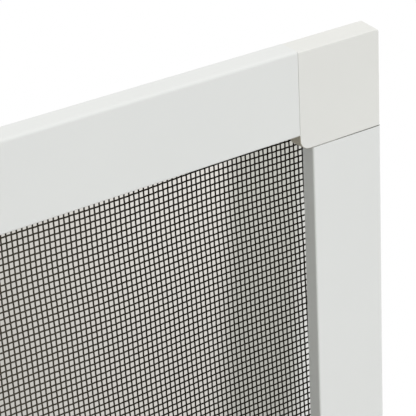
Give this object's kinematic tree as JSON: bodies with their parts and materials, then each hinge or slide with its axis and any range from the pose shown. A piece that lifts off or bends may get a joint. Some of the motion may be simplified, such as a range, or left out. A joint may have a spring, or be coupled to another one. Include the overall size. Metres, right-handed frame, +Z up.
{
  "type": "window screen frame",
  "caption": "Upright insect screen for a window: slim white hollow rails joined by square corner keys hold a black woven screen, pressed into a groove on the back by a round spline.",
  "frame": {"origin": "middle of the bottom edge, halfway through the frame's depth", "axes": "+Z up the frame, +X across it to the right as seen from the smooth front, -Y out of the front"},
  "size_m": [0.45, 0.007, 0.6],
  "materials": {
    "rail_paint": "satin",
    "corner_plastic": "satin",
    "screen_fibre": "matte",
    "spline_rubber": "matte"
  },
  "bodies": {
    "root": {"top_rail": "rail_paint", "bottom_rail": "rail_paint", "left_stile": "rail_paint", "right_stile": "rail_paint", "corner_top_left": "corner_plastic", "corner_top_right": "corner_plastic", "corner_bottom_left": "corner_plastic", "corner_bottom_right": "corner_plastic", "screen_mesh": "screen_fibre", "spline_top": "spline_rubber", "spline_bottom": "spline_rubber", "spline_left": "spline_rubber", "spline_right": "spline_rubber"}
  },
  "joints": []
}
